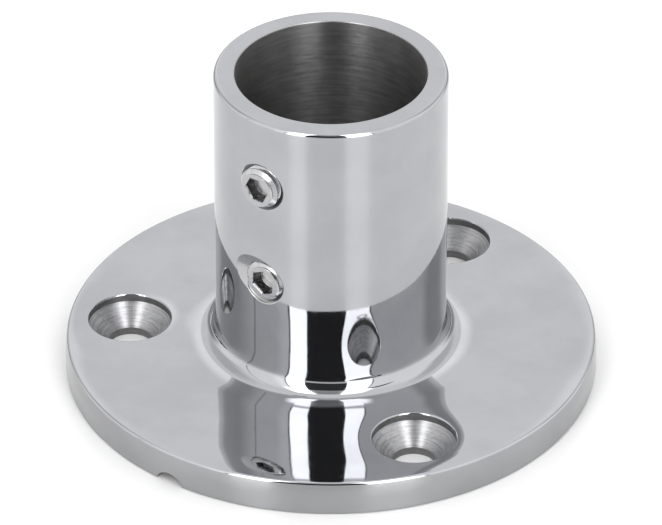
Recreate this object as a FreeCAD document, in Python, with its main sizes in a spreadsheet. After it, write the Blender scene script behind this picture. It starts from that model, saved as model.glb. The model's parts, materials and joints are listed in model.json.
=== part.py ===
import FreeCAD, Part
import math
import os

import Sketcher

# Stanchion base: a round flange with an upright socket for a tube, cast in one piece,
# and two hexagon socket set screws that clamp the tube.
# Frame: millimetres, +Z up along the tube, origin on the underside at the socket's axis.
# The set screws are on the -Y side, above the drain groove, and a deck hole is on the +Y side.

SIZES = [
    ("flange_dia", 72.0, "outside diameter of the flange"),
    ("flange_thick", 5.0, "thickness of the flange"),
    ("socket_dia", 31.2, "outside diameter of the socket"),
    ("total_height", 46.0, "underside of the flange to the top of the socket"),
    ("bore_dia", 25.5, "bore for a 25 mm tube"),
    ("ledge_height", 4.0, "underside to the ledge that the tube stands on"),
    ("passage_dia", 22.0, "opening below the ledge"),
    ("foot_radius", 2.0, "fillet where the socket meets the flange"),
    ("rim_top_radius", 0.5, "rounding of the flange's upper edge"),
    ("rim_bottom_radius", 0.3, "rounding of the flange's lower edge"),
    ("socket_top_radius", 0.5, "rounding of the socket's upper outer edge"),
    ("bore_bevel", 0.2, "broken edge at the mouth of the bore"),
    ("hole_circle_dia", 55.0, "circle through the deck holes"),
    ("hole_dia", 6.0, "deck hole"),
    ("head_dia", 11.2, "countersink at the flange's top"),
    ("head_wall", 1.3, "straight wall above the countersink's cone"),
    ("head_angle", 90.0, "countersink angle, degrees"),
    ("drain_width", 4.4, "drain groove at the underside"),
    ("drain_height", 1.6, "height of the drain groove"),
    ("upper_screw_height", 36.0, "upper set screw above the underside"),
    ("lower_screw_height", 21.0, "lower set screw above the underside"),
    ("upper_screw_shift", 0.0, "upper screw's axis beside the socket's centre, towards +X"),
    ("lower_screw_shift", 0.25, "lower screw's axis beside the socket's centre, towards +X"),
    ("upper_screw_stand", 0.9, "how far the upper screw stands out of the socket"),
    ("lower_screw_stand", 0.0, "how far the lower screw stands out of the socket"),
    ("upper_screw_turn", 33.0, "upper screw turned about its axis, degrees"),
    ("lower_screw_turn", 56.0, "lower screw turned about its axis, degrees"),
    ("thread_pitch", 1.0, "M6 coarse thread"),
    ("tap_major_dia", 6.15, "tapped hole, bottom of the thread"),
    ("tap_pitch_dia", 5.5, "tapped hole, pitch diameter"),
    ("tap_minor_dia", 5.1, "tapped hole, drilled diameter"),
    ("upper_mouth_dia", 6.8, "bevelled mouth of the upper tapped hole"),
    ("lower_mouth_dia", 6.3, "bevelled mouth of the lower tapped hole"),
    ("tap_start", 10.0, "radius inside the bore where the tap's cut begins"),
    ("tap_length", 9.0, "length of the tap's cut, through the wall"),
    ("screw_major_dia", 5.85, "screw, outside diameter"),
    ("screw_pitch_dia", 5.212, "screw, pitch diameter"),
    ("screw_root_dia", 4.64, "screw, bottom of the thread"),
    ("screw_length", 3.0, "tip to hexagon end"),
    ("screw_bevel", 0.5, "bevel at the hexagon end"),
    ("hex_width", 3.0, "hexagon socket across flats"),
    ("hex_depth", 1.6, "straight depth of the hexagon socket"),
    ("hex_mouth_dia", 3.5, "bevel at the hexagon socket's mouth"),
    ("hex_floor_depth", 0.35, "drill cone below the hexagon"),
    ("cup_length", 0.8, "length of the cup point"),
    ("cup_tip_dia", 3.0, "outside diameter of the cup's rim"),
    ("cup_mouth_dia", 2.5, "inside diameter of the cup's rim"),
    ("cup_depth", 0.5, "depth of the cup"),
]

HALF_THREAD_ANGLE = 30.0
CUT_OVERLAP = 0.08  # how far a thread's cutting shape stands clear of the crests
NEAR = 1e-4  # lengths closer than this are taken as equal

doc = FreeCAD.newDocument("stanchion_base")
sheet = doc.addObject("Spreadsheet::Sheet", "Sizes")


def fill_sheet():
    """Write every driving size into the sheet, with its alias and its meaning."""
    for row, (alias, value, meaning) in enumerate(SIZES, start=1):
        sheet.set(f"A{row}", meaning)
        sheet.set(f"B{row}", str(value))
        sheet.setAlias(f"B{row}", alias)
    doc.recompute()


def size(alias):
    return float(getattr(sheet, alias))


def new_body(label):
    body = doc.addObject("PartDesign::Body", label)
    body.Label = label
    return body


def origin_plane(body, role):
    for feature in body.Origin.OriginFeatures:
        if feature.Role == role:
            return feature
    raise ValueError(role)


def new_sketch(body, role, name):
    sketch = body.newObject("Sketcher::SketchObject", name)
    sketch.AttachmentSupport = [(origin_plane(body, role), "")]
    sketch.MapMode = "FlatFace"
    return sketch


def pin_point(sketch, edge, end, name, across, up):
    """Hold one end of an edge at two distances from the sketch's origin, bound to the sheet."""
    for kind, axis, expression in (("DistanceX", "x", across), ("DistanceY", "y", up)):
        value = float(sketch.evalExpression(expression))
        index = sketch.addConstraint(Sketcher.Constraint(kind, -1, 1, edge, end, value))
        sketch.renameConstraint(index, f"{name}_{axis}")
        sketch.setExpression(f"Constraints.{name}_{axis}", expression)


def outline(sketch, corners):
    """Close a straight-sided outline through corners, each (name, across, up) in sheet terms."""
    points = []
    for _, across, up in corners:
        x = float(sketch.evalExpression(across))
        y = float(sketch.evalExpression(up))
        points.append(FreeCAD.Vector(x, y, 0))
    count = len(points)
    for i in range(count):
        sketch.addGeometry(Part.LineSegment(points[i], points[(i + 1) % count]), False)
    for i in range(count):
        sketch.addConstraint(Sketcher.Constraint("Coincident", i, 2, (i + 1) % count, 1))
    for i, (name, across, up) in enumerate(corners):
        pin_point(sketch, i, 1, name, across, up)


def circle(sketch, name, across, up, radius):
    """Draw a circle whose centre and radius are bound to the sheet."""
    x = float(sketch.evalExpression(across))
    y = float(sketch.evalExpression(up))
    value = float(sketch.evalExpression(radius))
    normal = FreeCAD.Vector(0, 0, 1)
    edge = sketch.addGeometry(Part.Circle(FreeCAD.Vector(x, y, 0), normal, value), False)
    index = sketch.addConstraint(Sketcher.Constraint("Radius", edge, value))
    sketch.renameConstraint(index, f"{name}_radius")
    sketch.setExpression(f"Constraints.{name}_radius", radius)
    pin_point(sketch, edge, 3, name, across, up)


def ring_edges(feature, radius, height):
    """Name the full circles about the Z axis that have this radius and height."""
    names = []
    for i, edge in enumerate(feature.Shape.Edges, start=1):
        if not isinstance(edge.Curve, Part.Circle):
            continue
        centre = edge.Curve.Center
        on_axis = math.hypot(centre.x, centre.y) < NEAR
        if on_axis and abs(edge.Curve.Radius - radius) < NEAR and abs(centre.z - height) < NEAR:
            names.append(f"Edge{i}")
    if not names:
        raise ValueError(f"no ring of radius {radius} at height {height} on {feature.Label}")
    return names


def dress(body, kind, name, base, edges, amount, alias):
    """Fillet or chamfer edges of base by an amount bound to the sheet."""
    feature = body.newObject(kind, name)
    feature.Base = (base, edges)
    feature.setExpression(amount, f"Sizes.{alias}")
    doc.recompute()
    return feature


def check_removed(body, before, name):
    """A cut that points away from the solid removes nothing, so the volume has to fall."""
    after = body.Shape.Volume
    if not after < before - NEAR:
        raise ValueError(f"{name} removed nothing")
    return after


def turned_blank(body):
    """Flange, socket and bore as one turned shape, with its edges rounded."""
    sketch = new_sketch(body, "XZ_Plane", "casting_profile")
    outline(
        sketch,
        [
            ("passage_bottom", "Sizes.passage_dia / 2", "0"),
            ("rim_bottom", "Sizes.flange_dia / 2", "0"),
            ("rim_top", "Sizes.flange_dia / 2", "Sizes.flange_thick"),
            ("foot", "Sizes.socket_dia / 2", "Sizes.flange_thick"),
            ("socket_top", "Sizes.socket_dia / 2", "Sizes.total_height"),
            ("bore_top", "Sizes.bore_dia / 2", "Sizes.total_height"),
            ("ledge_outside", "Sizes.bore_dia / 2", "Sizes.ledge_height"),
            ("ledge_inside", "Sizes.passage_dia / 2", "Sizes.ledge_height"),
        ],
    )
    turned = body.newObject("PartDesign::Revolution", "casting_turned")
    turned.Profile = sketch
    turned.ReferenceAxis = (sketch, ["V_Axis"])
    turned.Angle = 360
    doc.recompute()
    flange_radius = size("flange_dia") / 2
    socket_radius = size("socket_dia") / 2
    thick = size("flange_thick")
    height = size("total_height")
    feature = turned
    for name, radius, level, alias in (
        ("foot_fillet", socket_radius, thick, "foot_radius"),
        ("rim_top_round", flange_radius, thick, "rim_top_radius"),
        ("rim_bottom_round", flange_radius, 0.0, "rim_bottom_radius"),
        ("socket_top_round", socket_radius, height, "socket_top_radius"),
    ):
        edges = ring_edges(feature, radius, level)
        feature = dress(body, "PartDesign::Fillet", name, feature, edges, "Radius", alias)
    edges = ring_edges(feature, size("bore_dia") / 2, height)
    dress(body, "PartDesign::Chamfer", "bore_edge", feature, edges, "Size", "bore_bevel")


def deck_holes(body):
    """Three countersunk holes, each with a short straight wall above its cone."""
    before = body.Shape.Volume
    sketch = new_sketch(body, "XY_Plane", "deck_hole_centre")
    sketch.setExpression("AttachmentOffset.Base.z", "Sizes.flange_thick")
    circle(sketch, "hole", "0", "Sizes.hole_circle_dia / 2", "Sizes.hole_dia / 2")
    doc.recompute()
    hole = body.newObject("PartDesign::Hole", "deck_hole")
    hole.Profile = sketch
    doc.recompute()
    hole.DepthType = "ThroughAll"
    hole.HoleCutType = "Counterdrill"
    hole.HoleCutCustomValues = True
    hole.setExpression("Diameter", "Sizes.hole_dia")
    hole.setExpression("HoleCutDiameter", "Sizes.head_dia")
    hole.setExpression("HoleCutDepth", "Sizes.head_wall")
    hole.setExpression("HoleCutCountersinkAngle", "Sizes.head_angle")
    doc.recompute()
    before = check_removed(body, before, "deck hole")
    pattern = body.newObject("PartDesign::PolarPattern", "deck_holes")
    pattern.Originals = [hole]
    pattern.Axis = (sketch, ["N_Axis"])
    pattern.Angle = 360
    pattern.Occurrences = 3
    body.Tip = pattern
    doc.recompute()
    check_removed(body, before, "deck hole pattern")


def drain_groove(body):
    """Arched groove in the underside, from the passage to the rim on the -Y side."""
    before = body.Shape.Volume
    sketch = new_sketch(body, "XZ_Plane", "drain_section")
    radius = "(Sizes.drain_width ^ 2 / 4 + Sizes.drain_height ^ 2) / (2 * Sizes.drain_height)"
    circle(sketch, "arch", "0", f"Sizes.drain_height - {radius}", radius)
    groove = body.newObject("PartDesign::Pocket", "drain_groove")
    groove.Profile = sketch
    groove.Type = "ThroughAll"
    groove.Reversed = True
    doc.recompute()
    check_removed(body, before, "drain groove")


def tap_drills(body):
    """Two drilled holes through the socket's -Y wall, one above the other."""
    before = body.Shape.Volume
    sketch = new_sketch(body, "XZ_Plane", "tap_drill_centres")
    for name in ("upper", "lower"):
        across = f"Sizes.{name}_screw_shift"
        circle(sketch, name, across, f"Sizes.{name}_screw_height", "Sizes.tap_minor_dia / 2")
    drills = body.newObject("PartDesign::Pocket", "tap_drills")
    drills.Profile = sketch
    drills.Type = "ThroughAll"
    drills.Reversed = True
    doc.recompute()
    check_removed(body, before, "tap drills")


def construction_axis(sketch, start, end):
    """Draw the sketch's first construction line, the axis of a turned or helical cut."""
    points = []
    for across, up in (start, end):
        x = float(sketch.evalExpression(across))
        y = float(sketch.evalExpression(up))
        points.append(FreeCAD.Vector(x, y, 0))
    line = sketch.addGeometry(Part.LineSegment(points[0], points[1]), True)
    pin_point(sketch, line, 1, "axis_start", start[0], start[1])
    pin_point(sketch, line, 2, "axis_end", end[0], end[1])


def tap_mouth(body, name):
    """Bevel the outer mouth of one tapped hole with a 45 degree cone."""
    before = body.Shape.Volume
    sketch = new_sketch(body, "YZ_Plane", f"{name}_mouth_section")
    sketch.setExpression("AttachmentOffset.Base.z", f"Sizes.{name}_screw_shift")
    height = f"Sizes.{name}_screw_height"
    drill = "Sizes.tap_minor_dia / 2"
    depth = f"(Sizes.{name}_mouth_dia / 2 - Sizes.tap_minor_dia / 2)"
    outside = f"(Sizes.socket_dia / 2 + {depth})"
    inside = f"(Sizes.socket_dia / 2 - {depth})"
    outline(
        sketch,
        [
            ("inside_centre", f"-{inside}", height),
            ("inside_edge", f"-{inside}", f"{height} + {drill}"),
            ("outside_edge", f"-{outside}", f"{height} + {drill} + 2 * {depth}"),
            ("outside_centre", f"-{outside}", height),
        ],
    )
    construction_axis(sketch, ("0", height), ("-1", height))
    bevel = body.newObject("PartDesign::Groove", f"{name}_tap_mouth")
    bevel.Profile = sketch
    bevel.ReferenceAxis = (sketch, ["Axis0"])
    bevel.Angle = 360
    doc.recompute()
    check_removed(body, before, "tap mouth")


def helical_cut(body, sketch, name, height):
    """Cut a right-hand thread groove with the sketch's outline, round its construction line."""
    before = body.Shape.Volume
    cut = body.newObject("PartDesign::SubtractiveHelix", name)
    cut.Profile = sketch
    cut.ReferenceAxis = (sketch, ["Axis0"])
    cut.Mode = "pitch-height-angle"
    cut.LeftHanded = False
    cut.Reversed = False
    cut.setExpression("Pitch", "Sizes.thread_pitch")
    cut.setExpression("Height", height)
    doc.recompute()
    check_removed(body, before, name)


def tap_thread(body, name):
    """Cut one tapped hole's thread, timed so that the screw's thread at rest runs in it."""
    slope = math.tan(math.radians(HALF_THREAD_ANGLE))
    sketch = new_sketch(body, "YZ_Plane", f"{name}_tap_section")
    sketch.setExpression("AttachmentOffset.Base.z", f"Sizes.{name}_screw_shift")
    tip = f"(Sizes.socket_dia / 2 + Sizes.{name}_screw_stand - Sizes.screw_length)"
    turn = f"(Sizes.{name}_screw_turn / 360 * Sizes.thread_pitch)"
    timing = f"({tip} - {turn} + Sizes.thread_pitch / 2 - Sizes.tap_start)"
    start = f"(Sizes.tap_start + mod({timing}; Sizes.thread_pitch))"
    height = f"Sizes.{name}_screw_height"
    inner = f"(Sizes.tap_minor_dia / 2 - {CUT_OVERLAP})"
    outer = "(Sizes.tap_major_dia / 2)"
    middle = "(Sizes.tap_pitch_dia / 2)"
    inner_half = f"(Sizes.thread_pitch / 4 + ({middle} - {inner}) * {slope})"
    outer_half = f"(Sizes.thread_pitch / 4 - ({outer} - {middle}) * {slope})"
    outline(
        sketch,
        [
            ("inner_near", f"-{start} + {inner_half}", f"{height} + {inner}"),
            ("outer_near", f"-{start} + {outer_half}", f"{height} + {outer}"),
            ("outer_far", f"-{start} - {outer_half}", f"{height} + {outer}"),
            ("inner_far", f"-{start} - {inner_half}", f"{height} + {inner}"),
        ],
    )
    construction_axis(sketch, ("0", height), ("-1", height))
    doc.recompute()
    helical_cut(body, sketch, f"{name}_tap_thread", "Sizes.tap_length")


def make_casting():
    body = new_body("base_casting")
    turned_blank(body)
    deck_holes(body)
    drain_groove(body)
    tap_drills(body)
    for name in ("upper", "lower"):
        tap_mouth(body, name)
        tap_thread(body, name)


def place_on_screw_axis(body, name):
    """Turn local +Z to point out of the socket (-Y) and local +X up, then turn and place it."""
    tip = f"Sizes.socket_dia / 2 + Sizes.{name}_screw_stand - Sizes.screw_length"
    base = f"vector(Sizes.{name}_screw_shift; -({tip}); Sizes.{name}_screw_height)"
    upright = "rotation(vector(1; 0; 0); 90) * rotation(vector(0; 0; 1); 90)"
    turn = f"rotation(vector(0; -1; 0); Sizes.{name}_screw_turn)"
    body.setExpression("Placement", f"placement({base}; {turn} * {upright})")
    doc.recompute()


def screw_blank(body, name):
    """The screw's turned shape above its cup point: cone, thread crest and end bevel."""
    sketch = new_sketch(body, "XZ_Plane", f"{name}_screw_profile")
    cone_base = "(Sizes.cup_tip_dia / 2 + Sizes.cup_length)"
    major = "(Sizes.screw_major_dia / 2)"
    outline(
        sketch,
        [
            ("centre_bottom", "0", "Sizes.cup_length"),
            ("cone_bottom", cone_base, "Sizes.cup_length"),
            ("cone_top", major, f"Sizes.cup_length + {major} - {cone_base}"),
            ("crest_top", major, "Sizes.screw_length - Sizes.screw_bevel"),
            ("end_edge", f"{major} - Sizes.screw_bevel", "Sizes.screw_length"),
            ("centre_top", "0", "Sizes.screw_length"),
        ],
    )
    turned = body.newObject("PartDesign::Revolution", f"{name}_screw_turned")
    turned.Profile = sketch
    turned.ReferenceAxis = (sketch, ["V_Axis"])
    turned.Angle = 360
    doc.recompute()


def screw_thread(body, name):
    """Cut the screw's own thread from below its cone to past its hexagon end."""
    slope = math.tan(math.radians(HALF_THREAD_ANGLE))
    sketch = new_sketch(body, "XZ_Plane", f"{name}_thread_section")
    root = "(Sizes.screw_root_dia / 2)"
    outer = f"(Sizes.screw_major_dia / 2 + {CUT_OVERLAP})"
    middle = "(Sizes.screw_pitch_dia / 2)"
    root_half = f"(Sizes.thread_pitch / 4 - ({middle} - {root}) * {slope})"
    outer_half = f"(Sizes.thread_pitch / 4 + ({outer} - {middle}) * {slope})"
    outline(
        sketch,
        [
            ("root_low", root, f"-{root_half}"),
            ("outer_low", outer, f"-{outer_half}"),
            ("outer_high", outer, outer_half),
            ("root_high", root, root_half),
        ],
    )
    construction_axis(sketch, ("0", "0"), ("0", "1"))
    doc.recompute()
    travel = "Sizes.screw_length + Sizes.thread_pitch"
    helical_cut(body, sketch, f"{name}_screw_thread", travel)


def hexagon_socket(body, name):
    """Bevelled mouth, straight hexagon and drill cone, cut from the screw's outer end."""
    before = body.Shape.Volume
    sketch = new_sketch(body, "XY_Plane", f"{name}_hexagon")
    sketch.setExpression("AttachmentOffset.Base.z", "Sizes.screw_length")
    corners = []
    for i in range(6):
        angle = 60 * i
        corner = "Sizes.hex_width / 2 / cos(30)"
        corners.append((f"corner{i}", f"{corner} * cos({angle})", f"{corner} * sin({angle})"))
    outline(sketch, corners)
    pocket = body.newObject("PartDesign::Pocket", f"{name}_hexagon_socket")
    pocket.Profile = sketch
    pocket.setExpression("Length", "Sizes.hex_depth")
    doc.recompute()
    before = check_removed(body, before, "hexagon socket")
    cones = new_sketch(body, "XZ_Plane", f"{name}_socket_cones")
    mouth = "(Sizes.hex_mouth_dia / 2)"
    flat = "(Sizes.hex_width / 2)"
    floor = "(Sizes.screw_length - Sizes.hex_depth)"
    outline(
        cones,
        [
            ("floor_tip", "0", f"{floor} - Sizes.hex_floor_depth"),
            ("floor_edge", flat, floor),
            ("mouth_low", flat, f"Sizes.screw_length - ({mouth} - {flat})"),
            ("mouth_high", mouth, "Sizes.screw_length"),
            ("centre_high", "0", "Sizes.screw_length"),
        ],
    )
    groove = body.newObject("PartDesign::Groove", f"{name}_socket_bevels")
    groove.Profile = cones
    groove.ReferenceAxis = (cones, ["V_Axis"])
    groove.Angle = 360
    doc.recompute()
    check_removed(body, before, "socket bevels")


def make_set_screw(name):
    body = new_body(f"{name}_set_screw")
    screw_blank(body, name)
    screw_thread(body, name)
    hexagon_socket(body, name)
    place_on_screw_axis(body, name)


def make_cup_point(name):
    """The screw's hardened rim, which bites into the tube: a cone with a hollow end."""
    body = new_body(f"{name}_cup_point")
    sketch = new_sketch(body, "XZ_Plane", f"{name}_cup_profile")
    outline(
        sketch,
        [
            ("hollow_top", "0", "Sizes.cup_depth"),
            ("rim_inside", "Sizes.cup_mouth_dia / 2", "0"),
            ("rim_outside", "Sizes.cup_tip_dia / 2", "0"),
            ("cone_top", "Sizes.cup_tip_dia / 2 + Sizes.cup_length", "Sizes.cup_length"),
            ("centre_top", "0", "Sizes.cup_length"),
        ],
    )
    turned = body.newObject("PartDesign::Revolution", f"{name}_cup_turned")
    turned.Profile = sketch
    turned.ReferenceAxis = (sketch, ["V_Axis"])
    turned.Angle = 360
    doc.recompute()
    place_on_screw_axis(body, name)


def check_document():
    """Stop if any object failed to rebuild or any sub-part isn't one valid solid."""
    for item in doc.Objects:
        if "Invalid" in item.State or "Error" in item.State:
            raise ValueError(f"{item.Label} failed: {item.State}")
    for body in doc.findObjects("PartDesign::Body"):
        shape = body.Shape
        if shape.isNull() or not shape.isValid() or len(shape.Solids) != 1:
            raise ValueError(f"{body.Label} isn't one valid solid")


def write_parts():
    os.makedirs("parts", exist_ok=True)
    for body in doc.findObjects("PartDesign::Body"):
        body.Shape.exportStep(f"parts/{body.Label}.step")
        box = body.Shape.BoundBox
        print(f"{body.Label}: {body.Shape.Volume:.3f} mm3, z {box.ZMin:.3f} to {box.ZMax:.3f}")


fill_sheet()
make_casting()
for screw_name in ("upper", "lower"):
    make_set_screw(screw_name)
    make_cup_point(screw_name)
doc.recompute()
check_document()
write_parts()
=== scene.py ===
import json
import math

import bmesh
import bpy
import numpy as np
from mathutils import Matrix, Vector


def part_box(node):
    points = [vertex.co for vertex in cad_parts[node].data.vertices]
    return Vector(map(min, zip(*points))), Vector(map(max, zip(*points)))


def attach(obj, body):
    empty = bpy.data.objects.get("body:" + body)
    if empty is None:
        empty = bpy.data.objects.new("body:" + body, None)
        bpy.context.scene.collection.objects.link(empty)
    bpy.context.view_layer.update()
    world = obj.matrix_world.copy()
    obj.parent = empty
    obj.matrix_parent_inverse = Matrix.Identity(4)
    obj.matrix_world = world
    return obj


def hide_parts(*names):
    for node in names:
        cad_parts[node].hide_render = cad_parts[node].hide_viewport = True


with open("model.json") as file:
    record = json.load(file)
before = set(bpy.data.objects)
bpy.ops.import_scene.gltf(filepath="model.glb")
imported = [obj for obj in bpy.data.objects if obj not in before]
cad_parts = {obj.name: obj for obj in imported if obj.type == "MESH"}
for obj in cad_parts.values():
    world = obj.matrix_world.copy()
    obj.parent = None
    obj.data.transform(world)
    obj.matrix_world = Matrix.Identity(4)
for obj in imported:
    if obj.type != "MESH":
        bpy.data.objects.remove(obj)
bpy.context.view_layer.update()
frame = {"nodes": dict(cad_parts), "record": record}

MM = 0.001

# the camera, in degrees and metres; the studio is laid out from the camera's azimuth too
VIEW_AZIMUTH = 36.45
CAMERA_ELEVATION = 33.43
CAMERA_DISTANCE = 858.3 * MM
CAMERA_PIVOT_HEIGHT = 20.0 * MM
CAMERA_AIM_HEIGHT = 15.8 * MM
LENS = 347.8
SENSOR_WIDTH = 36.0

# the casting, in millimetres and degrees
FLANGE_THICK = 5.0
LEDGE_HEIGHT = 4.0
PASSAGE_RADIUS = 11.0
FOOT_RADIUS = 2.5
SOCKET_RADIUS = 15.6
RIM_CROWN_RADIUS = 11.5
RIM_CROWN_TILT = 10.0
RIM_TOP_RADIUS = 0.45
RIM_BOTTOM_RADIUS = 0.3
SOCKET_TOP_RADIUS = 0.6
BORE_BEVEL = 0.1
TOP_FALL_START = 31.0
TOP_FALL_SLOPE = 5.0
TOP_RISE_START = 20.6
TOP_RISE_SLOPE = 8.5
DISH_WIDTH = 5.0
DISH_SLOPE = 6.5
HEAD_RADIUS = 5.6
HEAD_WALL = 1.3
HEAD_EDGE_RADIUS = 0.25
LIP_OVERLAP = 5.0
DRAIN_HALF_WIDTH = 2.2
DRAIN_HEIGHT = 1.6

# buffing marks on the flange's top, in millimetres and radians
BUFFED_FROM = (17.3, 2.5)  # radius where they begin, and the width over which they fade in
BUFFED_TO = (35.2, 2.0)  # radius where they end, and the width over which they fade out
DISH_DEEPEST = 1.3  # a dish stops deepening this many widths in from its outer edge
# each wave's length, its heading and its height
WAVES = [(6.5, 0.3, 0.0015), (9.0, 2.1, 0.0035), (13.0, 3.7, 0.0070), (19.0, 5.2, 0.0100)]

# the hollow beside the lower screw, in millimetres
HOLLOW_SHIFT = (-1.1, 0, 0.75)
HOLLOW_RADII = (5.5, 13.7, 4.0)
HOLLOW_DEPTH = 0.6

# M6 threads and set screws, in millimetres and degrees
PITCH = 1.0
THREAD_HALF_ANGLE = 30.0
TAP_RADII = (5.1 / 2, 5.5 / 2, 6.15 / 2)
TAP_MOUTH_RADIUS = {"upper": 6.8 / 2, "lower": 6.3 / 2}
MOUTH_ROLL = 0.2
MOUTH_LIP = 3.0
SCREW_RADII = (4.64 / 2, 5.212 / 2, 5.85 / 2)
CREST_OVERLAP = 0.08  # how far the thread's cutting shape stands clear of the crests
THREAD_TURNS = 6
SCREW_LENGTH = 3.0
SCREW_BEVEL = 0.5
CUP_LENGTH = 0.8
CUP_RADIUS = 1.5
HEX_FLAT = 1.5
HEX_DEPTH = 1.6
HEX_FLOOR = 0.35
KEY_WEAR = 0.12
KEY_WEAR_DEPTH = 0.3
SCREW_TURNS = {"upper": 33.0, "lower": 56.0}

# brightness of the studio round the object
BACK_LIGHT = 1.19
CORNER_LIGHT = 0.87
SIDE_LIGHT = 1.42
TOP_LIGHT = 1.2
PANEL_LIGHT = 3.6
HALO_LIGHT = 0.3
GLOW_LIGHT = 0.4
GAP_SHADE = (0.96, 0.62)  # low down, and above the crossbar
CROSSBAR_SHADE = 0.85
FRAME_SHADE = 0.75
SEAM_SHADE = 0.45
DUSK_SHADE = 0.65

# where the studio's parts stand, in degrees: azimuths from the camera's, growing to the right,
# and elevations
LEFT_SIDE = (-112.0, -80.0)
RIGHT_SIDE = (98.0, 116.0)
SIDE_SPREAD = 30.0  # how much further back the bright sides reach at the bottom
SPREAD_HEIGHT = (12.0, 28.0)
BACK = (134.0, 148.0)
DUSK = (115.0, 140.0)
DUSK_HEIGHT = (4.0, 16.0)
CEILING = (45.0, 65.0)
LEFT_PANEL = (-41.0, -23.6)
RIGHT_PANEL = (14.5, 37.6)
GAP = (-23.6, 14.5)
GAP_TOP = (45.0, 49.0)
PANEL_HEIGHT = (2.0, 70.0)
LEFT_WING = (-50.0, -23.6)
RIGHT_WING = (14.5, 46.0)
CANOPY_HEIGHT = (48.0, 68.0)
CROSSBAR_HEIGHT = (43.5, 46.5)
LEFT_FRAME = (-42.8, -41.2)
RIGHT_FRAME = (37.8, 39.4)
FRAME_HEIGHT = (2.0, 44.0)
HALO = (-52.0, -20.0)
SEAM = (-83.0, -81.2)
GLOW = (164.5, 171.0)
GLOW_HEIGHT = (18.0, 50.0)
FLOOR_WIDTH = 6.0  # metres

ROUND_STEPS = 288
TOP_ROWS = 61
HOLE_STEPS = 96
BALL_STEPS = 128
CAP = 1.0  # how far a cutting shape runs past what it cuts
TINY = 1e-4
ON_AXIS = 1e-9
WELD = 2e-6  # metres: shorter edges than this are left over from cutting
SAME_SIDE = 0.2  # a surface's own normal is used where it leans at least this much with its face
RADIAN_SHARE = 10.0  # texture distance of a radian round the axis; a millimetre along it is 1
RADIUS_SHARE = 0.7  # texture distance of a millimetre along a radius


# ---- shapes that know their own normals ----

class Stretch:
    """Part of a turned outline, with its finish. Outside is on the right of its travel."""

    def __init__(self, finish, points, normals):
        self.finish = finish
        self.points = np.array(points, float)
        self.normals = np.array(normals, float)


def line(finish, start, end):
    along = np.subtract(end, start)
    normal = np.array([along[1], -along[0]]) / np.hypot(*along)
    return Stretch(finish, [start, end], [normal, normal])


def arc(finish, centre, radius, start, end, steps=8):
    """Round stretch between two angles in degrees. It bulges outwards if end is past start."""
    side = 1.0 if end > start else -1.0
    angles = np.radians(np.linspace(start, end, steps + 1))
    rays = np.column_stack([np.cos(angles), np.sin(angles)])
    return Stretch(finish, np.array(centre) + radius * rays, side * rays)


def curve(finish, points):
    """Smooth stretch through the points, with normals across its chords."""
    points = np.array(points, float)
    along = np.gradient(points, axis=0)
    normals = np.column_stack([along[:, 1], -along[:, 0]])
    return Stretch(finish, points, normals / np.linalg.norm(normals, axis=1)[:, None])


def local_frame(origin, axis, first):
    """Matrix from a shape's own axes, where local Z is axis and local X is first, to millimetres."""
    z = Vector(axis).normalized()
    x = Vector(first).normalized()
    y = z.cross(x)
    turn = Matrix((x, y, z)).transposed().to_4x4()
    return np.array(Matrix.Translation(Vector(origin)) @ turn)


def to_local(place, points):
    return (points - place[:3, 3]) @ place[:3, :3]


class Turned:
    """A surface turned about its local Z axis."""

    def __init__(self, name, stretches, steps, place=np.eye(4), closed=False, side=1.0, lift=None):
        self.name, self.stretches, self.steps = name, stretches, steps
        self.place, self.closed, self.side, self.lift = place, closed, side, lift
        self.finishes = [stretch.finish for stretch in stretches]

    def geometry(self):
        rows, kinds = [self.stretches[0].points[0]], []
        for kind, stretch in enumerate(self.stretches):
            rows.extend(stretch.points[1:])
            kinds.extend([kind] * (len(stretch.points) - 1))
        if self.closed:
            rows.pop()
        verts, index = [], []
        for r, z in rows:
            if r < ON_AXIS:
                index.append([len(verts)] * self.steps)
                verts.append((0.0, 0.0, z))
                continue
            index.append(list(range(len(verts), len(verts) + self.steps)))
            for i in range(self.steps):
                angle = 2 * math.pi * i / self.steps
                verts.append((r * math.cos(angle), r * math.sin(angle), z))
        faces, face_kinds = [], []
        for j, kind in enumerate(kinds):
            low, high = index[j], index[(j + 1) % len(index)]
            for i in range(self.steps):
                k = (i + 1) % self.steps
                corners = list(dict.fromkeys((low[i], low[k], high[k], high[i])))
                if len(corners) > 2:
                    faces.append(corners)
                    face_kinds.append(kind)
        verts = np.array(verts)
        if self.lift is not None:
            verts[:, 2] += self.lift(verts)
        return verts, faces, face_kinds

    def shade(self, kind, points):
        stretch = self.stretches[kind]
        local = to_local(self.place, points)
        tilt = np.zeros((len(local), 2))
        if self.lift is not None:
            height = self.lift(local)
            for axis in (0, 1):
                beside = local.copy()
                beside[:, axis] += TINY
                tilt[:, axis] = (self.lift(beside) - height) / TINY
            local = local - np.column_stack([np.zeros((len(local), 2)), height])
        radius = np.hypot(local[:, 0], local[:, 1])
        flat = np.column_stack([radius, local[:, 2]])
        best = np.full(len(points), np.inf)
        normals = np.zeros((len(points), 2))
        for i in range(len(stretch.points) - 1):
            start, end = stretch.points[i], stretch.points[i + 1]
            along = end - start
            t = np.clip((flat - start) @ along / (along @ along), 0, 1)
            gap = np.linalg.norm(flat - (start + t[:, None] * along), axis=1)
            blend = stretch.normals[i] * (1 - t[:, None]) + stretch.normals[i + 1] * t[:, None]
            nearer = gap < best
            best[nearer] = gap[nearer]
            normals[nearer] = blend[nearer]
        ray = local[:, :2] / np.maximum(radius, ON_AXIS)[:, None]
        out = np.column_stack([ray * normals[:, :1] - tilt * normals[:, 1:], normals[:, 1]])
        out /= np.linalg.norm(out, axis=1)[:, None]
        return self.side * out @ self.place[:3, :3].T


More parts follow.
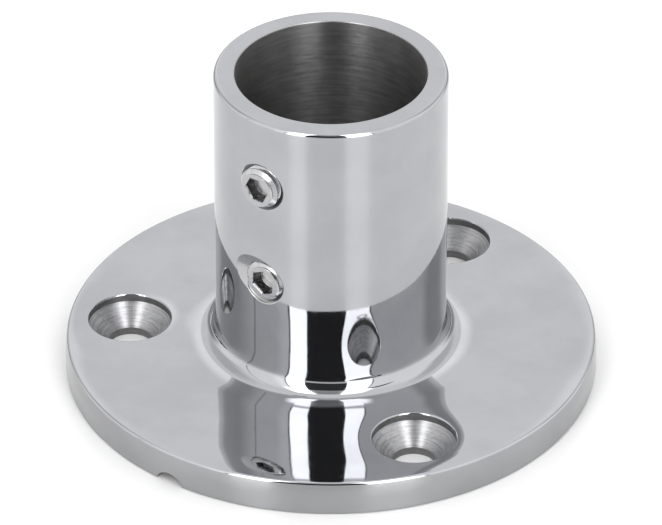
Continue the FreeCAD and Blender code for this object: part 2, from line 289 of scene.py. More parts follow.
class Threaded:
    """A right-hand thread about its local Z axis: a four-cornered section swept up a helix."""

    def __init__(self, name, finish, radii, external, start, turns, place, side):
        self.name, self.start, self.turns = name, start, turns
        self.place, self.side = place, side
        inner, middle, outer = radii
        slope = math.tan(math.radians(THREAD_HALF_ANGLE))
        groove, ridge = (inner, outer) if external else (outer, inner)
        groove_half = PITCH / 4 - abs(middle - groove) * slope
        ridge_half = PITCH / 4 + abs(ridge - middle) * slope
        self.section = [
            (-groove_half, groove),
            (groove_half, groove),
            (ridge_half, ridge),
            (PITCH - ridge_half, ridge),
        ]
        self.end_kind = len(self.section)
        self.finishes = [finish] * (self.end_kind + 1)

    def geometry(self):
        rows = []
        for turn in range(self.turns):
            rows.extend((self.start + turn * PITCH + along, r) for along, r in self.section)
        count, steps = len(rows), HOLE_STEPS
        verts = []
        for i in range(steps):
            angle = 2 * math.pi * i / steps
            for along, r in rows:
                z = along + PITCH * i / steps
                verts.append((r * math.cos(angle), r * math.sin(angle), z))
        # round the axis a row climbs by one pitch, so it closes on the row one section above it
        faces, kinds = [], []
        for i in range(steps):
            last = i == steps - 1
            lift = len(self.section) if last else 0
            k = 0 if last else i + 1
            for j in range(count - 1 - lift):
                a, b = i * count + j, k * count + j + lift
                faces.append((a, b, b + 1, a + 1))
                kinds.append(j % len(self.section))
        top = steps * count - 1
        climb = range(1, len(self.section) + 1)
        foot = [i * count for i in range(steps)] + list(reversed(climb))
        head = [i * count + count - 1 for i in range(steps)] + [top - j for j in climb]
        for loop, z in ((foot, self.start - CAP), (head, rows[-1][0] + 2 * CAP)):
            centre = len(verts)
            verts.append((0.0, 0.0, z))
            for i, corner in enumerate(loop):
                faces.append((corner, loop[(i + 1) % len(loop)], centre))
                kinds.append(self.end_kind)
        return np.array(verts), faces, kinds

    def shade(self, kind, points):
        local = to_local(self.place, points)
        radius = np.hypot(local[:, 0], local[:, 1])
        across, up = local[:, 0] / radius, local[:, 1] / radius
        if kind == self.end_kind:
            slope = 0.0
        else:
            z0, r0 = self.section[kind]
            z1, r1 = self.section[(kind + 1) % len(self.section)]
            z1 += PITCH if kind == len(self.section) - 1 else 0.0
            slope = (r1 - r0) / (z1 - z0)
        helix = slope * PITCH / (2 * math.pi * radius)
        rise = np.full(len(points), -slope)
        out = np.column_stack([across - up * helix, up + across * helix, rise])
        out /= np.linalg.norm(out, axis=1)[:, None]
        return self.side * out @ self.place[:3, :3].T


class Ellipsoid:
    """A smooth hollow, ground by hand."""

    def __init__(self, name, finish, radii, place):
        self.name, self.radii, self.place = name, np.array(radii), place
        self.finishes = [finish]

    def geometry(self):
        ball = Turned("ball", [arc(None, (0, 0), 1.0, -90, 90, BALL_STEPS // 2)], BALL_STEPS)
        verts, faces, kinds = ball.geometry()
        return verts * self.radii, faces, kinds

    def shade(self, kind, points):
        local = to_local(self.place, points)
        out = local / self.radii ** 2
        out /= np.linalg.norm(out, axis=1)[:, None]
        return -out @ self.place[:3, :3].T


class Prism:
    """A six-sided key socket along its local Z axis, with a mouth that keys have worn wider."""

    def __init__(self, name, wall, mouth, low, high, turn, place):
        self.name, self.place = name, place
        self.low, self.high, self.turn = low, high, math.radians(turn)
        self.finishes = [wall, mouth]

    def geometry(self):
        verts = []
        past_mouth = 1 + CAP / KEY_WEAR_DEPTH
        rings = [(self.low, 0), (self.high - KEY_WEAR_DEPTH, 0), (self.high + CAP, past_mouth)]
        for z, wear in rings:
            corner = (HEX_FLAT + wear * KEY_WEAR) / math.cos(math.pi / 6)
            for i in range(6):
                angle = self.turn + math.pi / 3 * i
                verts.append((corner * math.cos(angle), corner * math.sin(angle), z))
        faces, kinds = [(5, 4, 3, 2, 1, 0), (12, 13, 14, 15, 16, 17)], [0, 1]
        for ring in (0, 1):
            for i in range(6):
                a, b = ring * 6 + i, ring * 6 + (i + 1) % 6
                faces.append((a, b, b + 6, a + 6))
                kinds.append(ring)
        return np.array(verts), faces, kinds

    def shade(self, kind, points):
        return None


# ---- meshes cut from those shapes ----

def plain_object(shape):
    """The shape as a mesh in metres. A face's material names its place in the shape."""
    verts, faces, kinds = shape.geometry()
    verts = verts @ shape.place[:3, :3].T + shape.place[:3, 3]
    mesh = bpy.data.meshes.new(shape.name)
    mesh.from_pydata((verts * MM).tolist(), [], faces)
    for kind in range(len(shape.finishes)):
        mesh.materials.append(bpy.data.materials.new(f"{shape.name}-{kind}"))
    mesh.polygons.foreach_set("material_index", kinds)
    piece = bpy.data.objects.new(shape.name, mesh)
    bpy.context.scene.collection.objects.link(piece)
    return piece


def carved(name, blank, steps, finishes):
    """The blank, cut by each shape in turn, then given each surface's own normals and finish."""
    piece = plain_object(blank)
    tools = []
    for operation, shape in steps:
        tool = plain_object(shape)
        tools.append(tool)
        cut = piece.modifiers.new(shape.name, "BOOLEAN")
        cut.operation, cut.object, cut.solver = operation, tool, "EXACT"
        cut.material_mode = "TRANSFER"
    bpy.context.view_layer.update()
    graph = bpy.context.evaluated_depsgraph_get()
    mesh = bpy.data.meshes.new_from_object(piece.evaluated_get(graph))
    mesh.name = name
    weld(mesh)
    surface(mesh, [blank] + [shape for _, shape in steps], finishes)
    used = [piece] + tools
    result = bpy.data.objects.new(name, mesh)
    bpy.context.scene.collection.objects.link(result)
    for old in used:
        data = old.data
        bpy.data.objects.remove(old)
        bpy.data.meshes.remove(data)
    return result


def weld(mesh):
    """Close up the slivers that cutting leaves along its seams."""
    edit = bmesh.new()
    edit.from_mesh(mesh)
    bmesh.ops.remove_doubles(edit, verts=edit.verts, dist=WELD)
    bmesh.ops.dissolve_degenerate(edit, edges=edit.edges, dist=WELD)
    edit.to_mesh(mesh)
    edit.free()


def surface(mesh, shapes, finishes):
    """Set normals, texture coordinates and materials from the shapes that each face came from."""
    count = len(mesh.loops)
    points = np.zeros(len(mesh.vertices) * 3)
    mesh.vertices.foreach_get("co", points)
    points = points.reshape(-1, 3) / MM
    corner = np.zeros(count, int)
    mesh.loops.foreach_get("vertex_index", corner)
    totals = np.zeros(len(mesh.polygons), int)
    mesh.polygons.foreach_get("loop_total", totals)
    face_of = np.repeat(np.arange(len(mesh.polygons)), totals)
    slots = np.zeros(len(mesh.polygons), int)
    mesh.polygons.foreach_get("material_index", slots)
    face_normals = np.zeros(len(mesh.polygons) * 3)
    mesh.polygons.foreach_get("normal", face_normals)
    face_normals = face_normals.reshape(-1, 3)
    centres = np.zeros(len(mesh.polygons) * 3)
    mesh.polygons.foreach_get("center", centres)
    centres = centres.reshape(-1, 3) / MM
    normals = face_normals[face_of]
    uv = np.zeros((count, 2))
    by_name = {shape.name: shape for shape in shapes}
    names = sorted({finish for shape in shapes for finish in shape.finishes if finish})
    final = np.zeros(len(mesh.polygons), int)
    for slot, material in enumerate(mesh.materials):
        name, kind = material.name.rsplit("-", 1)
        shape, kind = by_name[name], int(kind)
        faces = slots == slot
        final[faces] = names.index(shape.finishes[kind])
        mine = faces[face_of]
        if not mine.any():
            continue
        place = points[corner[mine]]
        smooth = shape.shade(kind, place)
        if smooth is not None:
            agree = np.einsum("ij,ij->i", smooth, face_normals[face_of[mine]]) > SAME_SIDE
            normals[mine] = np.where(agree[:, None], smooth, face_normals[face_of[mine]])
        local = to_local(shape.place, place)
        middle = to_local(shape.place, centres[face_of[mine]])
        turn = np.arctan2(local[:, 1], local[:, 0])
        near = np.arctan2(middle[:, 1], middle[:, 0])
        turn = near + (turn - near + math.pi) % (2 * math.pi) - math.pi
        uv[mine, 0] = turn * RADIAN_SHARE
        uv[mine, 1] = RADIUS_SHARE * np.hypot(local[:, 0], local[:, 1]) + local[:, 2]
    placeholders = list(mesh.materials)
    mesh.materials.clear()
    for name in names:
        mesh.materials.append(finishes[name])
    for material in placeholders:
        bpy.data.materials.remove(material)
    mesh.polygons.foreach_set("material_index", final)
    mesh.polygons.foreach_set("use_smooth", np.ones(len(mesh.polygons), bool))
    layer = mesh.uv_layers.new(name="turning")
    layer.data.foreach_set("uv", uv.ravel())
    mesh.normals_split_custom_set(normals.tolist())
    mesh.update()


# ---- the pieces ----

def swell(r, start, end, slope, power):
    """Height gained from start to end along a curve whose slope ends at the given degrees."""
    part = np.clip((r - start) / (end - start), 0, 1)
    return math.tan(math.radians(slope)) * abs(end - start) * part ** power / power


def flange_height(r, rim, foot):
    """The flange's top: level in the middle, rising a little to the foot and falling to the rim."""
    rise = swell(r, TOP_RISE_START, foot, TOP_RISE_SLOPE, 2.0)
    fall = swell(r, TOP_FALL_START, rim, TOP_FALL_SLOPE, 2.5)
    return FLANGE_THICK + rise - fall


def hole_angles(holes):
    return [90 + 360 / holes["count"] * index for index in range(holes["count"])]


def dish_depth():
    """Depth of a dish at its hole's edge. It grows as a cube, and its slope there is DISH_SLOPE."""
    return math.tan(math.radians(DISH_SLOPE)) * DISH_WIDTH / 3


def ease(part):
    part = np.clip(part, 0, 1)
    return part ** 2 * (3 - 2 * part)


def buffed(holes):
    """What buffing did to the flange's top: a dish round each hole, and a slight waviness."""
    circle = holes["pcd_mm"] / 2
    turns = [math.radians(angle) for angle in hole_angles(holes)]
    places = [(circle * math.cos(turn), circle * math.sin(turn)) for turn in turns]
    edge = HEAD_RADIUS + HEAD_EDGE_RADIUS

    def lift(points):
        x, y = points[:, 0], points[:, 1]
        r = np.hypot(x, y)
        inner = ease((r - BUFFED_FROM[0]) / BUFFED_FROM[1])
        outer = ease((BUFFED_TO[0] - r) / BUFFED_TO[1])
        height = np.zeros(len(points))
        for hole_x, hole_y in places:
            away = (np.hypot(x - hole_x, y - hole_y) - edge) / DISH_WIDTH
            height -= dish_depth() * np.clip(1 - away, 0, DISH_DEEPEST) ** 3
        for length, heading, size in WAVES:
            along = x * math.cos(heading) + y * math.sin(heading)
            height += size * np.sin(2 * math.pi * along / length + heading)
        return np.where(points[:, 2] > FLANGE_THICK / 2, inner * outer * height, 0.0)

    return lift


def casting_blank(radius, height, bore):
    """Flange, socket and bore, turned about Z."""
    tilt = math.radians(RIM_CROWN_TILT)
    lean = math.radians(90 - TOP_FALL_SLOPE)
    edge_r = radius - RIM_CROWN_RADIUS + (RIM_CROWN_RADIUS - RIM_TOP_RADIUS) * math.cos(tilt)
    rim = edge_r + RIM_TOP_RADIUS * math.cos(lean)
    foot = SOCKET_RADIUS + FOOT_RADIUS * (1 - math.sin(math.radians(TOP_RISE_SLOPE)))
    foot_centre = SOCKET_RADIUS + FOOT_RADIUS
    edge_z = flange_height(rim, rim, foot) - RIM_TOP_RADIUS * math.sin(lean)
    crown_z = edge_z - (RIM_CROWN_RADIUS - RIM_TOP_RADIUS) * math.sin(tilt)
    foot_z = flange_height(foot, rim, foot) + FOOT_RADIUS * math.cos(math.radians(TOP_RISE_SLOPE))
    top = [(r, flange_height(r, rim, foot)) for r in np.linspace(rim, foot, TOP_ROWS)]
    shoulder = (SOCKET_RADIUS - SOCKET_TOP_RADIUS, height - SOCKET_TOP_RADIUS)
    mouth = bore + BORE_BEVEL
    low = (radius - RIM_BOTTOM_RADIUS, RIM_BOTTOM_RADIUS)
    return [
        line("ground", (PASSAGE_RADIUS, 0), (low[0], 0)),
        arc("edge", low, RIM_BOTTOM_RADIUS, -90, 0, 6),
        line("edge", (radius, low[1]), (radius, crown_z)),
        arc("edge", (radius - RIM_CROWN_RADIUS, crown_z), RIM_CROWN_RADIUS, 0, RIM_CROWN_TILT, 6),
        arc("polished", (edge_r, edge_z), RIM_TOP_RADIUS, RIM_CROWN_TILT, 90 - TOP_FALL_SLOPE, 12),
        curve("polished", top),
        arc("polished", (foot_centre, foot_z), FOOT_RADIUS, 270 - TOP_RISE_SLOPE, 180, 24),
        line("polished", (SOCKET_RADIUS, foot_z), (SOCKET_RADIUS, shoulder[1])),
        arc("polished", shoulder, SOCKET_TOP_RADIUS, 0, 90, 12),
        line("polished", (shoulder[0], height), (mouth, height)),
        line("machined", (mouth, height), (bore, height - BORE_BEVEL)),
        line("machined", (bore, height - BORE_BEVEL), (bore, LEDGE_HEIGHT)),
        line("machined", (bore, LEDGE_HEIGHT), (PASSAGE_RADIUS, LEDGE_HEIGHT)),
        line("machined", (PASSAGE_RADIUS, LEDGE_HEIGHT), (PASSAGE_RADIUS, 0)),
    ]


def deck_hole(index, angle, circle, hole):
    """Cutting shape of one countersunk hole: bore, cone, short wall and a rolled edge."""
    turn = math.radians(angle)
    place = local_frame((circle * math.cos(turn), circle * math.sin(turn), 0), (0, 0, 1), (1, 0, 0))
    wall_foot = FLANGE_THICK - HEAD_WALL
    cone_foot = wall_foot - (HEAD_RADIUS - hole)
    roll = (HEAD_RADIUS + HEAD_EDGE_RADIUS, FLANGE_THICK - dish_depth() - HEAD_EDGE_RADIUS)
    # the edge rolls a little further over than the dish, so that the two surely cross
    lip = 90 + DISH_SLOPE + LIP_OVERLAP
    slope = math.radians(lip - 90)
    across, up = HEAD_EDGE_RADIUS * math.sin(slope), HEAD_EDGE_RADIUS * math.cos(slope)
    end = (roll[0] - across, roll[1] + up)
    high = FLANGE_THICK + CAP
    outlet = (end[0] + (high - end[1]) / math.tan(slope), high)
    return Turned(
        f"deck_hole_{index}",
        [
            line("bored", (0, -CAP), (hole, -CAP)),
            line("bored", (hole, -CAP), (hole, cone_foot)),
            line("turned", (hole, cone_foot), (HEAD_RADIUS, wall_foot)),
            line("bored", (HEAD_RADIUS, wall_foot), (HEAD_RADIUS, roll[1])),
            arc("polished", roll, HEAD_EDGE_RADIUS, 180, lip, 8),
            line("polished", end, outlet),
            line("polished", outlet, (0, high)),
        ],
        HOLE_STEPS,
        place,
        side=-1.0,
    )


def drain_groove(radius):
    """Cutting shape of the arched groove, from the passage out past the rim on -Y."""
    arch = (DRAIN_HALF_WIDTH ** 2 + DRAIN_HEIGHT ** 2) / (2 * DRAIN_HEIGHT)
    place = local_frame((0, 0, DRAIN_HEIGHT - arch), (0, -1, 0), (0, 0, 1))
    start, end = PASSAGE_RADIUS - 2 * CAP, radius + CAP
    outline = [(0, start), (arch, start), (arch, end), (0, end)]
    stretches = [line("machined", a, b) for a, b in zip(outline, outline[1:])]
    return Turned("drain_groove", stretches, HOLE_STEPS, place, side=-1.0)


def screw_place(name):
    """The screw's axis: origin on the socket's axis, local Z out of the socket, local X up."""
    low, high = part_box(f"{name}_cup_point")
    across, height = (low.x + high.x) / 2 / MM, (low.z + high.z) / 2 / MM
    tip = -high.y / MM
    return local_frame((across, 0, height), (0, -1, 0), (0, 0, 1)), tip


def tapped_hole(name, depth_in, depth_out):
    """Cutting shapes of a tapped hole: a bevelled mouth that follows the wall, and the thread."""
    place, tip = screw_place(name)
    inside = SOCKET_RADIUS - (TAP_MOUTH_RADIUS[name] - TAP_RADII[0])
    roll = (TAP_MOUTH_RADIUS[name] + MOUTH_ROLL * math.tan(math.pi / 8), SOCKET_RADIUS - MOUTH_ROLL)
    cone_end = (roll[0] - MOUTH_ROLL * math.sqrt(0.5), roll[1] + MOUTH_ROLL * math.sqrt(0.5))
    slope = math.radians(MOUTH_LIP)
    end = (roll[0] - MOUTH_ROLL * math.sin(slope), roll[1] + MOUTH_ROLL * math.cos(slope))
    outlet = (end[0] + CAP, end[1] + CAP * math.tan(slope))

    def follow(points):
        across = points[:, 1] / np.maximum(np.hypot(points[:, 0], points[:, 1]), TINY)
        return np.sqrt(SOCKET_RADIUS ** 2 - (place[0, 3] - roll[0] * across) ** 2) - SOCKET_RADIUS

    mouth = Turned(
        f"{name}_mouth",
        [
            line("machined", (0, inside), (TAP_RADII[0], inside)),
            line("machined", (TAP_RADII[0], inside), cone_end),
            arc("polished", roll, MOUTH_ROLL, 135, 90 + MOUTH_LIP, 6),
            line("polished", end, outlet),
            line("polished", outlet, (outlet[0], outlet[1] + CAP)),
            line("polished", (outlet[0], outlet[1] + CAP), (0, outlet[1] + CAP)),
        ],
        HOLE_STEPS,
        place,
        side=-1.0,
        lift=follow,
    )
    groove = tip - SCREW_TURNS[name] / 360 * PITCH + PITCH / 2
    start = groove - PITCH * math.ceil((groove - depth_in) / PITCH)
    turns = math.ceil((depth_out - start) / PITCH) + 1
    thread = Threaded(f"{name}_tap", "tapped", TAP_RADII, False, start, turns, place, -1.0)
    return [("DIFFERENCE", mouth), ("DIFFERENCE", thread)]


def worn_hollow():
    """The hollow that hand grinding left beside the lower screw, up and to its left."""
    place, _ = screw_place("lower")
    centre = place[:3, 3] + np.array(HOLLOW_SHIFT)
    reach = math.sqrt(SOCKET_RADIUS ** 2 - centre[0] ** 2)
    out = np.array([centre[0], -reach, 0]) / SOCKET_RADIUS
    origin = np.array([0, 0, centre[2]]) + out * (SOCKET_RADIUS + HOLLOW_RADII[2] - HOLLOW_DEPTH)
    frame_of_hollow = local_frame(origin, out, (0, 0, 1))
    return Ellipsoid("worn_hollow", "hand_ground", HOLLOW_RADII, frame_of_hollow)


def make_casting(finishes):
    low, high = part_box("base_casting")
    mounts = {mount["name"]: mount["dims"] for mount in frame["record"]["mounts"]}
    radius = min(-low.x, -low.y, high.x, high.y) / MM
    bore = mounts["tube_socket"]["r_mm"]
    holes = mounts["deck_screws"]
    outline = casting_blank(radius, high.z / MM, bore)
    blank = Turned("casting", outline, ROUND_STEPS, closed=True, lift=buffed(holes))
    steps = [("DIFFERENCE", drain_groove(radius))]
    for index, angle in enumerate(hole_angles(holes)):
        hole = deck_hole(index, angle, holes["pcd_mm"] / 2, holes["hole_r_mm"])
        steps.append(("DIFFERENCE", hole))
    steps.append(("DIFFERENCE", worn_hollow()))
    for name in ("upper", "lower"):
        steps += tapped_hole(name, bore - 3 * CAP, SOCKET_RADIUS + CAP)
    casting = carved("casting_finished", blank, steps, finishes)
    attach(casting, "base")
    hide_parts("base_casting")


def make_set_screw(name, finishes):
    place, tip = screw_place(name)
    foot = tip + CUP_LENGTH
    head = tip + SCREW_LENGTH
    root, middle, crest = SCREW_RADII
    neck = CUP_RADIUS + CUP_LENGTH
    outline = [
        (0, foot),
        (neck, foot),
        (crest, foot + crest - neck),
        (crest, head - SCREW_BEVEL),
        (crest - SCREW_BEVEL, head),
        (0, head),
    ]
    stretches = [line("bright", a, b) for a, b in zip(outline, outline[1:])]
    blank = Turned(f"{name}_blank", stretches, HOLE_STEPS, place)
    turn = SCREW_TURNS[name]
    start = tip - turn / 360 * PITCH - PITCH
    radii = (root, middle, crest + CREST_OVERLAP)
    thread = Threaded(f"{name}_thread", "bright", radii, True, start, THREAD_TURNS, place, 1.0)
    floor = head - HEX_DEPTH
    key = Prism(f"{name}_key", "socket", "bright", floor, head, turn, place)
    drill = Turned(
        f"{name}_drill",
        [
            line("drilled", (0, floor - HEX_FLOOR), (HEX_FLAT, floor)),
            line("socket", (HEX_FLAT, floor), (HEX_FLAT, head + CAP)),
            line("socket", (HEX_FLAT, head + CAP), (0, head + CAP)),
        ],
        HOLE_STEPS,
        place,
        side=-1.0,
    )
    steps = [("INTERSECT", thread), ("DIFFERENCE", key), ("DIFFERENCE", drill)]
    screw = carved(f"{name}_set_screw_finished", blank, steps, finishes)
    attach(screw, f"{name}_screw")
    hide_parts(f"{name}_set_screw")


# ---- camera, materials and light ----

def make_camera():
    heading = math.radians(VIEW_AZIMUTH)
    rise = math.radians(CAMERA_ELEVATION)
    level = CAMERA_DISTANCE * math.cos(rise)
    x = level * math.sin(heading)
    y = -level * math.cos(heading)
    place = Vector((x, y, CAMERA_PIVOT_HEIGHT + CAMERA_DISTANCE * math.sin(rise)))
    aim = Vector((0, 0, CAMERA_AIM_HEIGHT))
    data = bpy.data.cameras.new("camera")
    data.lens = LENS
    data.sensor_width = SENSOR_WIDTH
    data.clip_start = 0.05
    data.clip_end = 50.0
    camera = bpy.data.objects.new("camera", data)
    camera.location = place
    camera.rotation_euler = (aim - place).to_track_quat("-Z", "Y").to_euler()
    bpy.context.scene.collection.objects.link(camera)
    bpy.context.scene.camera = camera


class Nodes:
    """A small writer for node trees."""

    def __init__(self, tree):
        self.tree = tree

    def add(self, kind, **settings):
        node = self.tree.nodes.new(kind)
        for name, value in settings.items():
            setattr(node, name, value)
        return node

    def link(self, source, target):
        self.tree.links.new(source, target)

    def math(self, operation, *values):
        node = self.add("ShaderNodeMath", operation=operation)
        for socket, value in zip(node.inputs, values):
            if isinstance(value, bpy.types.NodeSocket):
                self.link(value, socket)
            else:
                socket.default_value = value
        return node.outputs[0]

    def times(self, value, other):
        return self.math("MULTIPLY", value, other)

    def shaded(self, light, mask, share):
        """The light, less this share of it where the mask is 1."""
        return self.times(light, self.math("SUBTRACT", 1.0, self.times(mask, share)))

    def ramp(self, value, low, high, to_low=0.0, to_high=1.0):
        """A smooth step of the value between low and high."""
        node = self.add("ShaderNodeMapRange", interpolation_type="SMOOTHSTEP")
        self.link(value, node.inputs["Value"])
        node.inputs["From Min"].default_value = low
        node.inputs["From Max"].default_value = high
        node.inputs["To Min"].default_value = to_low
        node.inputs["To Max"].default_value = to_high
        return node.outputs["Result"]

    def stretched(self, source, scale):
        node = self.add("ShaderNodeMapping")
        node.inputs["Scale"].default_value = scale
        self.link(source, node.inputs["Vector"])
        return node.outputs[0]

    def noise(self, vector, scale, detail=2.0, roughness=0.5):
        node = self.add("ShaderNodeTexNoise")
        self.link(vector, node.inputs["Vector"])
        node.inputs["Scale"].default_value = scale
        node.inputs["Detail"].default_value = detail
        node.inputs["Roughness"].default_value = roughness
        return node.outputs[0]

    def bump(self, height, distance):
        node = self.add("ShaderNodeBump")
        self.link(height, node.inputs["Height"])
        node.inputs["Distance"].default_value = distance
        node.inputs["Strength"].default_value = 1.0
        return node.outputs[0]

    def mix(self, share, dark, light):
        """A colour between two others."""
        node = self.add("ShaderNodeMix", data_type="RGBA")
        self.link(share, node.inputs[0])
        node.inputs[6].default_value = (*dark, 1)
        node.inputs[7].default_value = (*light, 1)
        return node.outputs[2]

    def band(self, value, span, soft):
        """1 where the value is in the span, 0 outside it, with soft edges."""
        low, high = span
        rise = self.ramp(value, low - soft, low + soft)
        fall = self.ramp(value, high - soft, high + soft, 1.0, 0.0)
        return self.times(rise, fall)


def new_material(name, metallic):
    material = bpy.data.materials.new(name)
    material.use_nodes = True
    n = Nodes(material.node_tree)
    shader = material.node_tree.nodes["Principled BSDF"]
    shader.inputs["Metallic"].default_value = metallic
    return material, n, shader


def around(colour, spread):
    """A darker and a lighter colour, this share below and above."""
    return [c * (1 - spread) for c in colour], [c * (1 + spread) for c in colour]


def polished_steel(name, colour, roughness):
    """Polished outside, with the clouds, the waviness and the hairlines that buffing leaves."""
    material, n, shader = new_material(name, 1.0)
    place = n.add("ShaderNodeTexCoord").outputs["Object"]
    wave = n.noise(place, scale=160.0, detail=1.0)
    fine = n.noise(place, scale=900.0, detail=3.0)
    cloud = n.noise(place, scale=90.0, detail=4.0, roughness=0.6)
    n.link(n.mix(n.ramp(cloud, 0.3, 0.7), *around(colour, 0.05)), shader.inputs["Base Color"])
    hairlines = n.ramp(fine, 0.3, 0.75, roughness * 0.7, roughness * 1.4)
    n.link(hairlines, shader.inputs["Roughness"])
    n.link(n.bump(wave, 0.00002), shader.inputs["Normal"])
    return material


def cut_steel(name, colour, roughness, anisotropic, ring, depth, patch=(0.35, 2.5), spread=0.15):
    """Turned metal: fine rings round the tool's axis, so that light smears across them.

    ring is how closely the rings follow each other, and depth is their height in metres. patch is
    how closely lighter and darker patches follow each other, round the axis and along it, and
    spread is how far the colour goes each way.
    """
    material, n, shader = new_material(name, 1.0)
    shader.inputs["Anisotropic"].default_value = anisotropic
    shader.inputs["Anisotropic Rotation"].default_value = 0.25
    turning = n.add("ShaderNodeUVMap", uv_map="turning").outputs["UV"]
    tangent = n.add("ShaderNodeTangent", direction_type="UV_MAP", uv_map="turning")
    n.link(tangent.outputs[0], shader.inputs["Tangent"])
    along_rings = n.stretched(turning, (0.02, ring, 1.0))
    rings = n.noise(along_rings, scale=1.0, detail=3.0, roughness=0.6)
    over_patches = n.stretched(turning, (*patch, 1.0))
    patches = n.noise(over_patches, scale=1.0, detail=4.0, roughness=0.7)
    both = n.math("MULTIPLY_ADD", patches, 0.5, n.times(rings, 0.5))
    n.link(n.mix(n.ramp(both, 0.38, 0.62), *around(colour, spread)), shader.inputs["Base Color"])
    dulled = n.ramp(patches, 0.3, 0.7, roughness * 0.93, roughness * 1.07)
    n.link(dulled, shader.inputs["Roughness"])
    n.link(n.bump(rings, depth), shader.inputs["Normal"])
    return material


def bright_steel():
    """Rolled and lightly tumbled set screws."""
    material, n, shader = new_material("bright_steel", 1.0)
    shader.inputs["Base Color"].default_value = (0.46, 0.46, 0.47, 1)
    place = n.add("ShaderNodeTexCoord").outputs["Object"]
    fine = n.noise(place, scale=2500.0, detail=3.0)
    n.link(n.ramp(fine, 0.3, 0.7, 0.12, 0.26), shader.inputs["Roughness"])
    n.link(n.bump(fine, 0.00001), shader.inputs["Normal"])
    return material


def punched(name, dark, light, roughness):
    """The inside of a key socket: grey metal, mottled between dark and light; dark values paint its
    shade.
    """
    material, n, shader = new_material(name, 1.0)
    place = n.add("ShaderNodeTexCoord").outputs["Object"]
    stain_and_shade = n.noise(place, scale=1500.0, detail=2.0)
    n.link(n.mix(stain_and_shade, [dark] * 3, [light] * 3), shader.inputs["Base Color"])
    dulled = n.ramp(stain_and_shade, 0.3, 0.7, roughness * 0.8, roughness * 1.2)
    n.link(dulled, shader.inputs["Roughness"])
    return material


def make_finishes():
    return {
        "polished": polished_steel("polished_steel", (0.417, 0.422, 0.438), 0.043),
        "edge": polished_steel("edge_steel", (0.35, 0.352, 0.36), 0.13),
        "hand_ground": polished_steel("hand_ground_steel", (0.45, 0.45, 0.46), 0.22),
        "machined": cut_steel(
            "machined_steel",
            (0.34, 0.335, 0.335),
            roughness=0.36,
            anisotropic=0.85,
            ring=5.0,
            depth=0.000004,
            patch=(0.5, 2.2),
            spread=0.13,
        ),
        "turned": cut_steel(
            "turned_steel",
            (0.41, 0.41, 0.42),
            roughness=0.43,
            anisotropic=0.9,
            ring=3.5,
            depth=0.00002,
            spread=0.25,
        ),
        "bored": cut_steel("bored_steel", (0.2, 0.2, 0.2), 0.4, 0.6, 4.0, 0.000004),
        "tapped": cut_steel("tapped_steel", (0.3, 0.3, 0.3), 0.3, 0.3, 12.0, 0.000002),
        "ground": cut_steel("ground_steel", (0.45, 0.45, 0.45), 0.3, 0.8, 8.0, 0.000004),
        "bright": bright_steel(),
        # the walls' dark greys are painted shade down inside the key socket; the floor's lighter
        # greys are its own
        "socket": punched("punched_wall", 0.12, 0.28, 0.3),
        "drilled": punched("drilled_floor", 0.42, 0.6, 0.2),
    }


def room_light(n, azimuth, elevation):
    """The walls and the ceiling: bright sides, dim corners behind them, then the back wall."""
    aside = n.math("ABSOLUTE", azimuth)
    spread = n.ramp(elevation, *SPREAD_HEIGHT, SIDE_SPREAD, 0.0)
    left_side = n.ramp(n.math("ADD", azimuth, spread), *LEFT_SIDE)
    right_side = n.ramp(n.math("SUBTRACT", azimuth, spread), *RIGHT_SIDE, 1.0, 0.0)
    sides = n.times(left_side, right_side)
    level = n.math("MULTIPLY_ADD", sides, SIDE_LIGHT - CORNER_LIGHT, CORNER_LIGHT)
    back = n.ramp(aside, *BACK)
    level = n.math("MULTIPLY_ADD", back, BACK_LIGHT - CORNER_LIGHT, level)
    glow = n.times(n.band(aside, GLOW, 3.0), n.band(elevation, GLOW_HEIGHT, 8.0))
    level = n.math("MULTIPLY_ADD", glow, GLOW_LIGHT, level)
    dusk = n.times(n.ramp(aside, *DUSK), n.ramp(elevation, *DUSK_HEIGHT, 1.0, 0.0))
    level = n.shaded(level, dusk, DUSK_SHADE)
    overhead = n.ramp(elevation, *CEILING)
    return n.math("MULTIPLY_ADD", n.math("SUBTRACT", TOP_LIGHT, level), overhead, level)


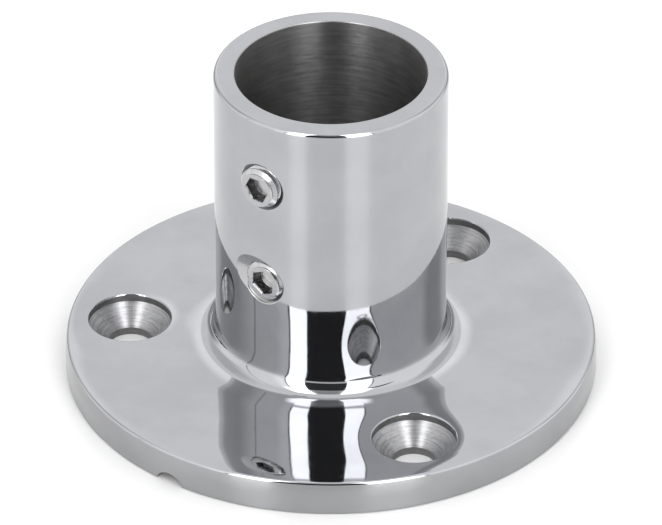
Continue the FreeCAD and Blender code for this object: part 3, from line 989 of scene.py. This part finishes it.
def panel_light(n, azimuth, elevation, level):
    """Two tall panels beside the camera, a canopy above them and the dark gap between them."""
    tall = n.band(elevation, PANEL_HEIGHT, 3.0)
    beside = n.math("ADD", n.band(azimuth, LEFT_PANEL, 0.5), n.band(azimuth, RIGHT_PANEL, 0.5))
    wings = n.math("ADD", n.band(azimuth, LEFT_WING, 7.0), n.band(azimuth, RIGHT_WING, 7.0))
    canopy = n.times(wings, n.band(elevation, CANOPY_HEIGHT, 1.5))
    panels = n.math("MAXIMUM", n.times(beside, tall), canopy)
    panels = n.shaded(panels, n.band(elevation, CROSSBAR_HEIGHT, 0.7), CROSSBAR_SHADE)
    total = n.math("MULTIPLY_ADD", panels, PANEL_LIGHT, level)
    halo = n.times(n.band(azimuth, HALO, 6.0), tall)
    total = n.math("MULTIPLY_ADD", halo, HALO_LIGHT, total)
    gap_shade = n.ramp(elevation, *GAP_TOP, *GAP_SHADE)
    total = n.shaded(total, n.times(n.band(azimuth, GAP, 0.5), tall), gap_shade)
    frames = n.math("ADD", n.band(azimuth, LEFT_FRAME, 0.4), n.band(azimuth, RIGHT_FRAME, 0.4))
    frames = n.times(frames, n.band(elevation, FRAME_HEIGHT, 2.0))
    total = n.shaded(total, frames, FRAME_SHADE)
    return n.shaded(total, n.times(n.band(azimuth, SEAM, 0.5), tall), SEAM_SHADE)


def make_world():
    world = bpy.data.worlds.new("studio")
    world.use_nodes = True
    bpy.context.scene.world = world
    tree = world.node_tree
    tree.nodes.clear()
    n = Nodes(tree)
    out = n.add("ShaderNodeOutputWorld")
    light = n.add("ShaderNodeBackground")
    light.inputs["Color"].default_value = (1, 1, 1, 1)
    n.link(light.outputs[0], out.inputs["Surface"])
    coord = n.add("ShaderNodeTexCoord")
    turn = n.add("ShaderNodeVectorRotate", rotation_type="Z_AXIS")
    n.link(coord.outputs["Generated"], turn.inputs["Vector"])
    turn.inputs["Angle"].default_value = -math.radians(VIEW_AZIMUTH)
    parts = n.add("ShaderNodeSeparateXYZ")
    n.link(turn.outputs[0], parts.inputs[0])
    x, y, z = parts.outputs
    # both in degrees; azimuth 0 is on the camera's side, and it grows to the right
    azimuth = n.times(n.math("ARCTAN2", x, n.times(y, -1.0)), 180 / math.pi)
    elevation = n.times(n.math("ARCSINE", z), 180 / math.pi)
    level = room_light(n, azimuth, elevation)
    total = panel_light(n, azimuth, elevation, level)
    n.link(total, light.inputs["Strength"])


def make_floor():
    mesh = bpy.data.meshes.new("floor")
    half = FLOOR_WIDTH / 2
    corners = [(-half, -half, 0), (half, -half, 0), (half, half, 0), (-half, half, 0)]
    mesh.from_pydata(corners, [], [(0, 1, 2, 3)])
    floor = bpy.data.objects.new("floor", mesh)
    bpy.context.scene.collection.objects.link(floor)
    material, _, shader = new_material("floor", 0.0)
    shader.inputs["Base Color"].default_value = (0.75, 0.75, 0.75, 1)
    shader.inputs["Roughness"].default_value = 0.25
    mesh.materials.append(material)


make_camera()
make_world()
make_floor()
finishes = make_finishes()
make_casting(finishes)
for screw_name in ("upper", "lower"):
    make_set_screw(screw_name, finishes)
    point = frame["nodes"][f"{screw_name}_cup_point"]
    point.data.materials.clear()
    point.data.materials.append(finishes["bright"])

bpy.context.scene.view_settings.view_transform = "Standard"
